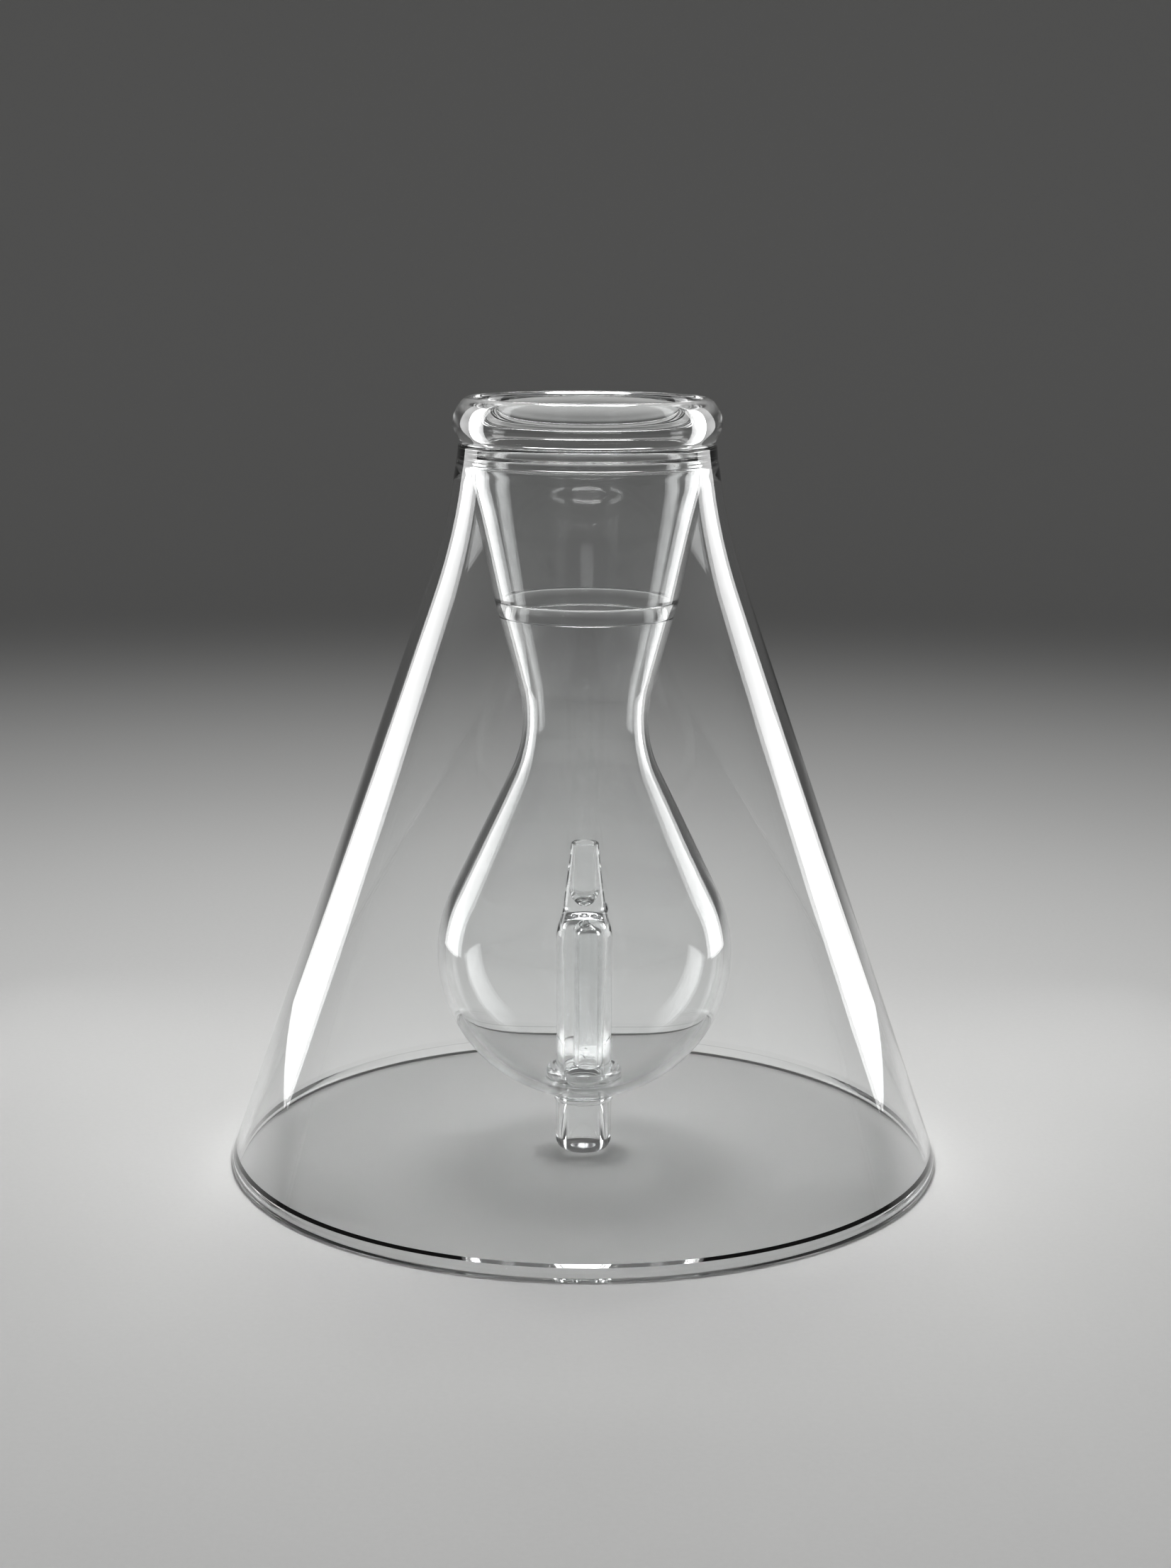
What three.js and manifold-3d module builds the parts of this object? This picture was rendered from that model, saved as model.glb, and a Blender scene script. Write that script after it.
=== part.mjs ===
/**
 * One-cup pour-over dripper in clear lamp-worked borosilicate glass.
 *
 * A conical skirt stands on a fire-polished foot and carries, from a thick rolled lip at its
 * neck, an hourglass vessel: a cup above, a waist, and a round bulb below. A siphon stands in
 * the bulb on its axis: an outer tube with a drawn-down cap, and a standpipe hung inside it.
 * The siphon drains through an outlet tube that ends just above the table.
 *
 * Every piece of glass that the vessel is sealed together from is one mesh. Units are
 * millimetres, +Z is up, and the origin is the centre of the foot's resting face.
 */
import * as THREE from 'three';
import { mergeVertices } from 'three/addons/utils/BufferGeometryUtils.js';
import Module from 'manifold-3d';

const wasm = await Module();
wasm.setup();

// Overall sizes.
const BASE_RADIUS = 80;
const OVERALL_HEIGHT = 171;
const SEAM = 0.3; // clearance at every seal between two pieces
const FINE = 48; // facets round the skirt
const MEDIUM = 40; // facets round the vessel, collar and lip
const COARSE = 24; // facets round the siphon and outlet
const SMALL = 16; // facets round the drilled holes and the weld

// Foot and skirt.
const FOOT_HEIGHT = 3;
const FOOT_WIDTH = 2.9;
const FOOT_ROUNDING = 0.85;
const SKIRT_WALL = 2;
const SKIRT_SLOPE = 0.349; // radius lost per millimetre of height
const SKIRT_CONE_RADIUS = 80.3; // radius of the straight cone carried down to the table
const SKIRT_CONE_TOP = 130;
const SKIRT_TOP = 154;
const SKIRT_FLARE_STEPS = 7;
const NECK_SLOPE = 0.13;

// Neck collar, ring seal and lip.
const NECK_RADIUS = 29.05;
const COLLAR_MIDDLE_RADIUS = 28.4;
const COLLAR_TOP_RADIUS = 28.2;
const COLLAR_TOP = 160.9;
const MOUTH_RADIUS = 25.8;
const SEAL_RADIUS = 24.2;
const SEAL_BOTTOM = 156.2;
const SEAL_TOP = 158.6;
const SEAL_OUTER_RADIUS = 26.8;
const SEAL_ROUNDING = 0.9;
const LIP_RADIUS = 29.3;
const LIP_WIDEST = 165.4; // height where the lip stands out furthest
const LIP_CREST_RADIUS = 25.9;
const LIP_FOOT_RADIUS = 27.7;
const LIP_INNER_RADIUS = 24.5;
const LIP_INNER_TOP = 167.8; // the lip's inside is straight between these heights
const LIP_INNER_FOOT = 163.5;
// Handles of the curves of the lip's section, from its foot outside to its inside.
const LIP_FLARE_RADIUS = 28.3;
const LIP_FLARE_HEIGHT = 162.6;
const LIP_BELOW_WIDEST = 163.9;
const LIP_ABOVE_WIDEST = 167.6;
const LIP_ROUND_RADIUS = 27.6;
const LIP_ROUND_DROP = 0.3;
const LIP_INSIDE_RADIUS = 24.9;
const LIP_INSIDE_HEIGHT = 169.8;

// Cup, joint band and funnel above the waist.
const VESSEL_WALL = 1.8;
const CUP_TOP = 155.9;
const CUP_TOP_RADIUS = 26.5;
const CUP_BOTTOM = 127.3;
const CUP_BOTTOM_RADIUS = 20.3;
const BAND_BOTTOM = 123.3;
const BAND_TOP_RADIUS = 20.2;
const BAND_BOTTOM_RADIUS = 19.4;
const BAND_TOP_BORE = 18.4;
const BAND_BOTTOM_BORE = 17.5;
const BAND_ROUNDING = 0.5;
const FUNNEL_ANGLE = 15.4; // degrees from the vertical

// Waist and bulb.
const WAIST_RADIUS = 13.9;
const WAIST_BEND = 27;
const BULB_RADIUS = 33.1;
const BULB_CENTRE_HEIGHT = 47;
const SHOULDER_ANGLE = 26; // degrees from the vertical
const BULB_HOLE_RADIUS = 9.3;

// Seal of the siphon through the bulb's floor.
const FLANGE_BOTTOM = 12.4;
const FLANGE_EDGE = 0.3;
const FLANGE_RADIUS = 8.95;
const FLANGE_SHOULDER = 15.1;
const FLANGE_TOP = 16.95;
const FLANGE_TOP_RADIUS = 8.45;
const RIDGE_BOTTOM = 17.4;
const RIDGE_TOP = 19.4;
const RIDGE_RADIUS = 8.7;

// Siphon tube, cap and standpipe.
const TUBE_RADIUS = 6.3;
const TUBE_BORE = 4.6;
const TUBE_BOTTOM = 18.3;
const TUBE_TOP = 50.2;
const INLET_RADIUS = 1.2;
const INLET_HEIGHT = 22;
const CAP_TOP = 72;
const CAP_MOUTH_RADIUS = 3.15;
const CAP_SHOULDER_RADIUS = 4.75;
const CAP_SHOULDER_HEIGHT = 57.5;
const CAP_DRAW = 2.6; // height over which the cap bends in and out again
const CAP_DRAW_IN = 0.25;
const CAP_SPRING = 51.8; // where the cap's ceiling starts to close
const CAP_CEILING = 56.1;
const VENT_FLOOR = 57.4;
const VENT_BORE_RADIUS = 2.1;
const VENT_FLARE = 0.45; // the blind vent's bore widens by this above its floor
const VENT_TAPER_HEIGHT = 62.5;
const STANDPIPE_RADIUS = 3.35;
const STANDPIPE_BORE = 2.1;
const STANDPIPE_OFFSET = 0.95;
const STANDPIPE_BOTTOM = 19.7;
const STANDPIPE_SHOULDER = 51.9;
const STANDPIPE_BORE_SHOULDER = 50.6; // lower, because the dome is melted thick
const PORT_RADIUS = 1.1;
const PORT_DIRECTION = new THREE.Vector3(-0.35, -0.6, 0.72);
const INLET_DIRECTION = new THREE.Vector3(0, 1, 0);
const WELD_SIZE = new THREE.Vector3(1.25, 1.15, 1.6);
const WELD_PLACE = new THREE.Vector3(3.95, 0, 56.7);

// Outlet tube and tip.
const OUTLET_RADIUS = 6.35;
const OUTLET_BORE = 3.8;
const OUTLET_TOP = 18;
const OUTLET_BOTTOM = 3.3;
const TIP_BOTTOM = 0.5;
const TIP_LAND = 0.3; // width of the flat ring at the tip's mouth

/** A point of a meridian: distance from the axis, then height. */
const at = (radius, height) => new THREE.Vector2(radius, height);

/** Points on an elliptic arc. Angles are in degrees: 0 points away from the axis and 90 up. */
function arc(centre, halfWidth, halfHeight, start, end, steps) {
  return Array.from({ length: steps + 1 }, (_, i) => {
    const angle = THREE.MathUtils.degToRad(start + ((end - start) * i) / steps);
    return at(centre.x + halfWidth * Math.cos(angle), centre.y + halfHeight * Math.sin(angle));
  });
}

/**
 * Closed section of a wall from its outer line, drawn upwards. The inner line is set in by the
 * thickness. Ends are cut level, unless squareStart leaves the first one square to the wall.
 */
function wall(outer, thickness, squareStart = false) {
  const last = outer.length - 1;
  const inner = outer.map((point, i) => {
    const along = outer[Math.min(i + 1, last)].clone().sub(outer[Math.max(i - 1, 0)]).normalize();
    if (i === last || (i === 0 && !squareStart)) return at(point.x - thickness / along.y, point.y);
    return at(point.x - thickness * along.y, point.y + thickness * along.x);
  });
  return [...outer, ...inner.reverse()];
}

/** Section turned about +Z. A section that starts on the axis also ends on it. */
function turn(section, facets) {
  const ring = section[0].x === 0 ? section : [...section, section[0]];
  return new THREE.LatheGeometry(ring, facets).rotateX(Math.PI / 2);
}

/** The geometry as a manifold solid, with shared vertices merged. */
function solid(geometry) {
  const bare = geometry.clone();
  bare.deleteAttribute('normal');
  bare.deleteAttribute('uv');
  const merged = mergeVertices(bare);
  const corners = merged.index.array;
  const kept = [];
  for (let i = 0; i < corners.length; i += 3) {
    const [a, b, c] = corners.slice(i, i + 3);
    if (a !== b && b !== c && c !== a) kept.push(a, b, c);
  }
  return new wasm.Manifold(new wasm.Mesh({
    numProp: 3,
    vertProperties: new Float32Array(merged.attributes.position.array),
    triVerts: new Uint32Array(kept),
  }));
}

/** The first geometry with the others cut out of it. */
function cut(body, ...tools) {
  const mesh = tools.reduce((left, tool) => left.subtract(solid(tool)), solid(body)).getMesh();
  const geometry = new THREE.BufferGeometry();
  geometry.setAttribute('position', new THREE.BufferAttribute(mesh.vertProperties, 3));
  geometry.setIndex(new THREE.BufferAttribute(mesh.triVerts, 1));
  geometry.computeVertexNormals();
  return geometry;
}

/** A round drill that starts at a point and runs along a direction. */
function drill(start, direction, radius, length) {
  const turned = new THREE.Quaternion().setFromUnitVectors(
    new THREE.Vector3(0, 1, 0), direction.clone().normalize());
  return new THREE.CylinderGeometry(radius, radius, length, SMALL).translate(0, length / 2, 0)
    .applyQuaternion(turned).translate(start.x, start.y, start.z);
}

/** An ellipsoid of the weld's size, grown by a margin. */
function weldLump(margin) {
  const size = WELD_SIZE.clone().addScalar(margin);
  return new THREE.SphereGeometry(1, SMALL, SMALL / 2).scale(size.x, size.y, size.z)
    .translate(WELD_PLACE.x, WELD_PLACE.y, WELD_PLACE.z);
}

/** Flat-bottomed ring that the dripper stands on, with fire-polished corners. */
function footRing() {
  const inner = BASE_RADIUS - FOOT_WIDTH;
  const topOuter = SKIRT_CONE_RADIUS - SKIRT_SLOPE * FOOT_HEIGHT;
  const round = (radius, start, end) =>
    arc(at(radius, FOOT_ROUNDING), FOOT_ROUNDING, FOOT_ROUNDING, start, end, 3);
  return turn([
    ...round(inner + FOOT_ROUNDING, 180, 270),
    ...round(BASE_RADIUS - FOOT_ROUNDING, 270, 360),
    at(topOuter, FOOT_HEIGHT),
    at(topOuter - SKIRT_WALL, FOOT_HEIGHT),
  ], FINE);
}

/** Conical skirt that flares into the neck. */
function skirtCone() {
  const bottom = FOOT_HEIGHT + SEAM;
  const coneRadius = (height) => SKIRT_CONE_RADIUS - SKIRT_SLOPE * height;
  const reach = (SKIRT_TOP - SKIRT_CONE_TOP) / 3;
  const flare = new THREE.CubicBezierCurve(
    at(coneRadius(SKIRT_CONE_TOP), SKIRT_CONE_TOP),
    at(coneRadius(SKIRT_CONE_TOP + reach), SKIRT_CONE_TOP + reach),
    at(NECK_RADIUS + NECK_SLOPE * reach, SKIRT_TOP - reach),
    at(NECK_RADIUS, SKIRT_TOP));
  const outer = [at(coneRadius(bottom), bottom), ...flare.getPoints(SKIRT_FLARE_STEPS)];
  return turn(wall(outer, SKIRT_WALL), FINE);
}

/** Short collar where skirt, cup and lip are melted together, stepped inside for the ring seal. */
function neckCollar() {
  const bottom = SKIRT_TOP + SEAM;
  const middle = (bottom + COLLAR_TOP) / 2;
  const stepRadius = SEAL_OUTER_RADIUS + SEAM;
  const stepHeight = SEAL_TOP + SEAM;
  return turn([
    at(stepRadius, bottom),
    at(NECK_RADIUS, bottom),
    at(COLLAR_MIDDLE_RADIUS, middle),
    at(COLLAR_TOP_RADIUS, COLLAR_TOP),
    at(MOUTH_RADIUS, COLLAR_TOP),
    at(MOUTH_RADIUS, stepHeight),
    at(stepRadius, stepHeight),
  ], MEDIUM);
}

/** Thick rolled lip round the mouth. */
function lipBead() {
  const foot = at(LIP_FOOT_RADIUS, COLLAR_TOP + SEAM);
  const widest = at(LIP_RADIUS, LIP_WIDEST);
  const crest = at(LIP_CREST_RADIUS, OVERALL_HEIGHT);
  const side = at(LIP_INNER_RADIUS, LIP_INNER_TOP);
  const flare = new THREE.CubicBezierCurve(
    foot, at(LIP_FLARE_RADIUS, LIP_FLARE_HEIGHT), at(LIP_RADIUS, LIP_BELOW_WIDEST), widest);
  const outer = new THREE.CubicBezierCurve(
    widest, at(LIP_RADIUS, LIP_ABOVE_WIDEST),
    at(LIP_ROUND_RADIUS, OVERALL_HEIGHT - LIP_ROUND_DROP), crest);
  const inner = new THREE.CubicBezierCurve(
    crest, at(LIP_INSIDE_RADIUS, OVERALL_HEIGHT),
    at(LIP_INNER_RADIUS, LIP_INSIDE_HEIGHT), side);
  return turn([
    ...flare.getPoints(4),
    ...outer.getPoints(6).slice(1),
    ...inner.getPoints(5).slice(1),
    at(LIP_INNER_RADIUS, LIP_INNER_FOOT),
    at(MOUTH_RADIUS, foot.y),
  ], MEDIUM);
}

/** Ledge inside the neck that joins the cup's rim to the collar. */
function ringSeal() {
  const corner = at(SEAL_RADIUS + SEAL_ROUNDING, SEAL_TOP - SEAL_ROUNDING);
  return turn([
    at(SEAL_RADIUS, SEAL_BOTTOM),
    at(SEAL_OUTER_RADIUS, SEAL_BOTTOM),
    at(SEAL_OUTER_RADIUS, SEAL_TOP),
    ...arc(corner, SEAL_ROUNDING, SEAL_ROUNDING, 90, 180, 3),
  ], MEDIUM);
}

/** Straight tapered cup at the top of the vessel. */
function filterCup() {
  const outer = [at(CUP_BOTTOM_RADIUS, CUP_BOTTOM), at(CUP_TOP_RADIUS, CUP_TOP)];
  return turn(wall(outer, VESSEL_WALL), MEDIUM);
}

/** Thick band of the seal between the cup and the funnel below it. */
function cupJointBand() {
  const top = CUP_BOTTOM - SEAM;
  const round = (radius, height, start, end) =>
    arc(at(radius - BAND_ROUNDING, height), BAND_ROUNDING, BAND_ROUNDING, start, end, 2);
  return turn([
    ...round(BAND_BOTTOM_RADIUS, BAND_BOTTOM + BAND_ROUNDING, -90, 0),
    ...round(BAND_TOP_RADIUS, top - BAND_ROUNDING, 0, 90),
    at(BAND_TOP_BORE, top),
    at(BAND_BOTTOM_BORE, BAND_BOTTOM),
  ], MEDIUM);
}

// The waist bends on a circle that is tangent to the shoulder line, and that line to the bulb.
const shoulder = THREE.MathUtils.degToRad(SHOULDER_ANGLE);
const waistCentreRadius = WAIST_RADIUS + WAIST_BEND;
const shoulderDrop = (BULB_RADIUS + WAIST_BEND) * Math.cos(shoulder) - waistCentreRadius;
const waistHeight = BULB_CENTRE_HEIGHT + (BULB_RADIUS + WAIST_BEND) * Math.sin(shoulder)
  + shoulderDrop / Math.tan(shoulder);
const waistCentre = at(waistCentreRadius, waistHeight);
const waistSeam = THREE.MathUtils.radToDeg(SEAM / 2 / WAIST_BEND);

/** Funnel from the joint band down to the narrowest ring of the waist. */
function waistFunnel() {
  const top = BAND_BOTTOM - SEAM;
  const bend = arc(waistCentre, WAIST_BEND, WAIST_BEND, 180 - waistSeam, 180 - FUNNEL_ANGLE, 4);
  const start = bend[bend.length - 1];
  const topRadius = start.x + (top - start.y) * Math.tan(THREE.MathUtils.degToRad(FUNNEL_ANGLE));
  return turn(wall([...bend, at(topRadius, top)], VESSEL_WALL), MEDIUM);
}

/** Blown bulb with its shoulder drawn in to the waist, and a hole in its floor. */
function brewBulb() {
  const holeAngle = -THREE.MathUtils.radToDeg(Math.acos(BULB_HOLE_RADIUS / BULB_RADIUS));
  const outer = [
    ...arc(at(0, BULB_CENTRE_HEIGHT), BULB_RADIUS, BULB_RADIUS, holeAngle, SHOULDER_ANGLE, 15),
    ...arc(waistCentre, WAIST_BEND, WAIST_BEND, 180 + SHOULDER_ANGLE, 180 + waistSeam, 5),
  ];
  return turn(wall(outer, VESSEL_WALL, true), MEDIUM);
}

/** Flared flange that carries the bulb's floor on to the outlet tube. */
function floorFlange() {
  const bore = OUTLET_RADIUS + SEAM;
  const flare = new THREE.QuadraticBezierCurve(
    at(bore + FLANGE_EDGE, FLANGE_BOTTOM),
    at(bore + FLANGE_EDGE, FLANGE_SHOULDER - FLANGE_EDGE),
    at(FLANGE_RADIUS, FLANGE_SHOULDER));
  return turn([
    at(bore, FLANGE_BOTTOM),
    ...flare.getPoints(4),
    at(FLANGE_TOP_RADIUS, FLANGE_TOP),
    at(bore, FLANGE_TOP),
  ], COARSE);
}

/** Raised ridge of glass round the siphon's foot, inside the bulb. */
function floorRidge() {
  const bore = OUTLET_RADIUS + SEAM;
  const halfWidth = (RIDGE_RADIUS - bore) / 2;
  const spring = RIDGE_TOP - halfWidth;
  return turn([
    at(bore, RIDGE_BOTTOM),
    at(RIDGE_RADIUS, RIDGE_BOTTOM),
    ...arc(at(bore + halfWidth, spring), halfWidth, halfWidth, 0, 180, 6),
  ], COARSE);
}

/** Straight siphon tube with one inlet at the back of its foot. */
function siphonTube() {
  const outer = [at(TUBE_RADIUS, TUBE_BOTTOM), at(TUBE_RADIUS, TUBE_TOP)];
  const tube = turn(wall(outer, TUBE_RADIUS - TUBE_BORE), COARSE);
  const start = new THREE.Vector3(0, 0, INLET_HEIGHT);
  return cut(tube, drill(start, INLET_DIRECTION, INLET_RADIUS, TUBE_RADIUS * 2));
}

/** Drawn-down cap: a domed ceiling below, an open blind vent above, and a pocket for the weld. */
function siphonCap() {
  const bottom = TUBE_TOP + SEAM;
  const mouthWall = (CAP_MOUTH_RADIUS - VENT_BORE_RADIUS) / 2;
  const ceiling = arc(at(0, CAP_SPRING), TUBE_BORE, CAP_CEILING - CAP_SPRING, 90, 0, 6).slice(1);
  const taper = new THREE.CubicBezierCurve(
    at(TUBE_RADIUS, bottom),
    at(TUBE_RADIUS, bottom + CAP_DRAW),
    at(CAP_SHOULDER_RADIUS + CAP_DRAW_IN, CAP_SHOULDER_HEIGHT - CAP_DRAW),
    at(CAP_SHOULDER_RADIUS, CAP_SHOULDER_HEIGHT));
  const rimCentre = at(CAP_MOUTH_RADIUS - mouthWall, CAP_TOP - mouthWall);
  const ventWidth = VENT_BORE_RADIUS + VENT_FLARE;
  const ventDepth = VENT_TAPER_HEIGHT - VENT_FLOOR;
  const cap = turn([
    at(0, CAP_CEILING),
    ...ceiling,
    at(TUBE_BORE, bottom),
    ...taper.getPoints(6),
    ...arc(rimCentre, mouthWall, mouthWall, 0, 180, 4),
    ...arc(at(0, VENT_TAPER_HEIGHT), ventWidth, ventDepth, 0, -90, 5).slice(0, -1),
    at(0, VENT_FLOOR),
  ], COARSE);
  return cut(cap, weldLump(SEAM));
}

/** Standpipe hung inside the siphon tube, closed at the top but for one port in its dome. */
function standpipe() {
  const centre = at(0, STANDPIPE_SHOULDER);
  const boreCentre = at(0, STANDPIPE_BORE_SHOULDER);
  const pipe = turn([
    at(0, STANDPIPE_BORE_SHOULDER + STANDPIPE_BORE),
    ...arc(boreCentre, STANDPIPE_BORE, STANDPIPE_BORE, 90, 0, 4).slice(1),
    at(STANDPIPE_BORE, STANDPIPE_BOTTOM),
    at(STANDPIPE_RADIUS, STANDPIPE_BOTTOM),
    ...arc(centre, STANDPIPE_RADIUS, STANDPIPE_RADIUS, 0, 90, 5).slice(0, -1),
    at(0, STANDPIPE_SHOULDER + STANDPIPE_RADIUS),
  ], COARSE);
  const start = new THREE.Vector3(0, 0, STANDPIPE_SHOULDER);
  const port = drill(start, PORT_DIRECTION, PORT_RADIUS, STANDPIPE_RADIUS * 2);
  return cut(pipe, port).translate(STANDPIPE_OFFSET, 0, 0);
}

/** Thick outlet tube under the bulb. */
function outletTube() {
  const outer = [at(OUTLET_RADIUS, OUTLET_BOTTOM), at(OUTLET_RADIUS, OUTLET_TOP)];
  return turn(wall(outer, OUTLET_RADIUS - OUTLET_BORE), COARSE);
}

/** Fire-polished tip with a rounded shoulder. */
function outletTip() {
  const top = OUTLET_BOTTOM - SEAM;
  const land = OUTLET_BORE + TIP_LAND;
  return turn([
    at(OUTLET_BORE, TIP_BOTTOM),
    ...arc(at(land, top), OUTLET_RADIUS - land, top - TIP_BOTTOM, -90, 0, 5),
    at(OUTLET_BORE, top),
  ], COARSE);
}

const glass = new THREE.MeshStandardMaterial({
  color: '#eef4f3', roughness: 0.03, metalness: 0, transparent: true, opacity: 0.35,
});

const pieces = {
  foot_rim: footRing(),
  skirt_cone: skirtCone(),
  neck_collar: neckCollar(),
  lip_bead: lipBead(),
  ring_seal: ringSeal(),
  filter_cup: filterCup(),
  cup_joint_band: cupJointBand(),
  waist_funnel: waistFunnel(),
  brew_bulb: brewBulb(),
  floor_flange: floorFlange(),
  floor_ridge: floorRidge(),
  siphon_tube: siphonTube(),
  siphon_cap: siphonCap(),
  standpipe: standpipe(),
  standpipe_weld: weldLump(0),
  outlet_tube: outletTube(),
  outlet_tip: outletTip(),
};

const dripper = new THREE.Group();
for (const [name, geometry] of Object.entries(pieces)) {
  const mesh = new THREE.Mesh(geometry, glass.clone());
  mesh.name = name;
  dripper.add(mesh);
}

export default dripper;
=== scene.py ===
"""One-cup pour-over dripper in clear lamp-worked borosilicate glass, on a studio floor.

A conical skirt stands on a fire-polished foot and carries an hourglass vessel in its neck: a
tapered cup, a sealed joint band, a waist and a blown bulb. A siphon stands in the bulb on its
axis and drains through an outlet tube. Every piece is turned on a lathe from its half section,
as the glass was, and then drilled or lumped where the flame did that.

Sizes in the classes are millimetres, and the scene is in metres.
"""

from __future__ import annotations

import logging
import math
from collections.abc import Sequence
from dataclasses import dataclass
from enum import Enum

import bpy
from mathutils import Matrix, Vector


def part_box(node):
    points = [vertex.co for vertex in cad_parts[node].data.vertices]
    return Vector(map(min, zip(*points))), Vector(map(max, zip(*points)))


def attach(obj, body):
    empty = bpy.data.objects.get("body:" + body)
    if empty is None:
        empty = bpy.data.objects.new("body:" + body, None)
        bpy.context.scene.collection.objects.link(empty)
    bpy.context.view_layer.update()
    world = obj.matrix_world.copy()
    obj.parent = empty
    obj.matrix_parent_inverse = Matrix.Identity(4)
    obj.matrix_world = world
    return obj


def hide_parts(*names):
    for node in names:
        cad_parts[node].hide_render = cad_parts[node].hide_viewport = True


MM = 0.001
ROOT = "root"
HAIRLINE = 0.02  # clearance, in mm, that stands in for a melted seal
WELD_DISTANCE = 1e-7
FINE = 224  # steps of the lathe round the wide pieces
MEDIUM = 160  # steps round the vessel and lip
COARSE = 96  # steps round the siphon and outlet
DRILL_STEPS = 32
CREASE = math.radians(55)  # sharper edges stay sharp in the shading
SENSOR_WIDTH = 36.0

Point = tuple[float, float]  # distance from the axis, height

log = logging.getLogger("dripper")
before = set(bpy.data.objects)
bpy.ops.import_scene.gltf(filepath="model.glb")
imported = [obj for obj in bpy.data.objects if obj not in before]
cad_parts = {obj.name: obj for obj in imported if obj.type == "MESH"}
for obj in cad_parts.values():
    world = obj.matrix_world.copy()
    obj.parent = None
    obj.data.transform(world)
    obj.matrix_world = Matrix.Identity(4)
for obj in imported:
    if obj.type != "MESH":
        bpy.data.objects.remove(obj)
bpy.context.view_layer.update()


class Slot(Enum):
    """Material slots of the part's record."""

    SKIRT = "skirt_glass"
    VESSEL = "vessel_glass"
    TUBE = "tube_glass"
    SEAL = "seal_glass"
    FIRE_POLISHED = "fire_polished_glass"


class Side(Enum):
    """Side of the dripper that a light stands on, as the sign of its X."""

    LEFT = -1
    RIGHT = 1


# ---------------------------------------------------------------- half sections


def arc(centre: Point, half_width: float, half_height: float, start: float, end: float,
        steps: int) -> list[Point]:
    """Points on an elliptic arc of a half section.

    Args:
        centre: Centre of the ellipse.
        half_width: Half its width.
        half_height: Half its height.
        start: First angle in degrees, where 0 points away from the axis and 90 up.
        end: Last angle in degrees.
        steps: Number of chords.

    Returns:
        The points, from start to end.
    """
    angles = [math.radians(start + (end - start) * i / steps) for i in range(steps + 1)]
    return [(centre[0] + half_width * math.cos(a), centre[1] + half_height * math.sin(a))
            for a in angles]


def bezier(a: Point, b: Point, c: Point, d: Point, steps: int) -> list[Point]:
    """Points on a cubic Bezier curve.

    Args:
        a: Start point.
        b: Handle of the start point.
        c: Handle of the end point.
        d: End point.
        steps: Number of chords.

    Returns:
        The points, from a to d.
    """
    points = []
    for i in range(steps + 1):
        t = i / steps
        weights = ((1 - t) ** 3, 3 * t * (1 - t) ** 2, 3 * t * t * (1 - t), t ** 3)
        points.append((sum(w * p[0] for w, p in zip(weights, (a, b, c, d))),
                       sum(w * p[1] for w, p in zip(weights, (a, b, c, d)))))
    return points


def inward(line: Sequence[Point], thickness: float) -> list[Point]:
    """The inner face of a wall, square to its outer face.

    Args:
        line: Outer face, drawn upwards.
        thickness: Wall thickness.

    Returns:
        The inner face, drawn upwards.
    """
    inner = []
    for i, (radius, height) in enumerate(line):
        low, high = line[max(i - 1, 0)], line[min(i + 1, len(line) - 1)]
        run, rise = high[0] - low[0], high[1] - low[1]
        length = math.hypot(run, rise)
        inner.append((radius - thickness * rise / length, height + thickness * run / length))
    return inner


# ---------------------------------------------------------------- modelling


def deselect() -> None:
    """Leaves every object unselected."""
    for item in bpy.context.selected_objects:
        item.select_set(False)


def turned(name: str, section: Sequence[Point], steps: int) -> bpy.types.Object:
    """Turns a half section about the axis, as on a lathe.

    Args:
        name: Name of the piece.
        section: Half section in mm. It closes on itself unless both its ends are on the axis.
        steps: Steps of the lathe.

    Returns:
        The piece, with its faces outwards.
    """
    corners = [Vector((radius * MM, 0.0, height * MM)) for radius, height in section]
    if section[0][0] or section[-1][0]:
        corners.append(corners[0])
    deselect()
    bpy.ops.mesh.primitive_plane_add(size=MM)
    piece = bpy.context.object
    bpy.ops.object.mode_set(mode="EDIT")
    bpy.ops.mesh.select_all(action="SELECT")
    bpy.ops.mesh.merge(type="CENTER")
    bpy.ops.transform.translate(value=corners[0])
    for here, there in zip(corners, corners[1:]):
        bpy.ops.mesh.extrude_vertices_move(TRANSFORM_OT_translate={"value": there - here})
    bpy.ops.mesh.select_all(action="SELECT")
    bpy.ops.mesh.remove_doubles(threshold=WELD_DISTANCE)
    bpy.ops.mesh.select_all(action="SELECT")
    bpy.ops.mesh.spin(steps=steps, angle=math.tau, center=(0, 0, 0), axis=(0, 0, 1))
    bpy.ops.mesh.select_all(action="SELECT")
    bpy.ops.mesh.remove_doubles(threshold=WELD_DISTANCE)
    bpy.ops.mesh.select_all(action="SELECT")
    bpy.ops.mesh.normals_make_consistent(inside=False)
    bpy.ops.object.mode_set(mode="OBJECT")
    piece.name = piece.data.name = name
    return piece


def moved(piece: bpy.types.Object, offset: Vector) -> bpy.types.Object:
    """Moves a piece's mesh, and leaves its object at the origin.

    Args:
        piece: The piece.
        offset: The move in mm.

    Returns:
        The same piece.
    """
    deselect()
    piece.select_set(True)
    bpy.context.view_layer.objects.active = piece
    bpy.ops.object.mode_set(mode="EDIT")
    bpy.ops.mesh.select_all(action="SELECT")
    bpy.ops.transform.translate(value=offset * MM)
    bpy.ops.object.mode_set(mode="OBJECT")
    return piece


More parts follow.
